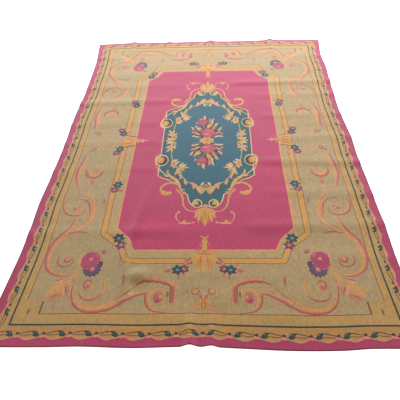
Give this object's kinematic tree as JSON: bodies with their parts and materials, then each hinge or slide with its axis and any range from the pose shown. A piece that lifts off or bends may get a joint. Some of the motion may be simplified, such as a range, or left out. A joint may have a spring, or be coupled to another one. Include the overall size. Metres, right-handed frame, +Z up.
{
  "type": "flat-woven rug",
  "caption": "Oblong flat-woven rug with a shaped centre medallion, scrolling leaf border and plain edge band, lying with the soft ridges of folded storage",
  "frame": {"origin": "on the floor under the middle of the rug", "axes": "+Z up, +Y along the rug from its near end to its far end, +X across it"},
  "size_m": [1.996, 3.0143, 0.0239],
  "materials": {
    "woven_yarn": "matte ribbed flat weave"
  },
  "bodies": {
    "root": {"rug": "woven_yarn"}
  },
  "joints": []
}
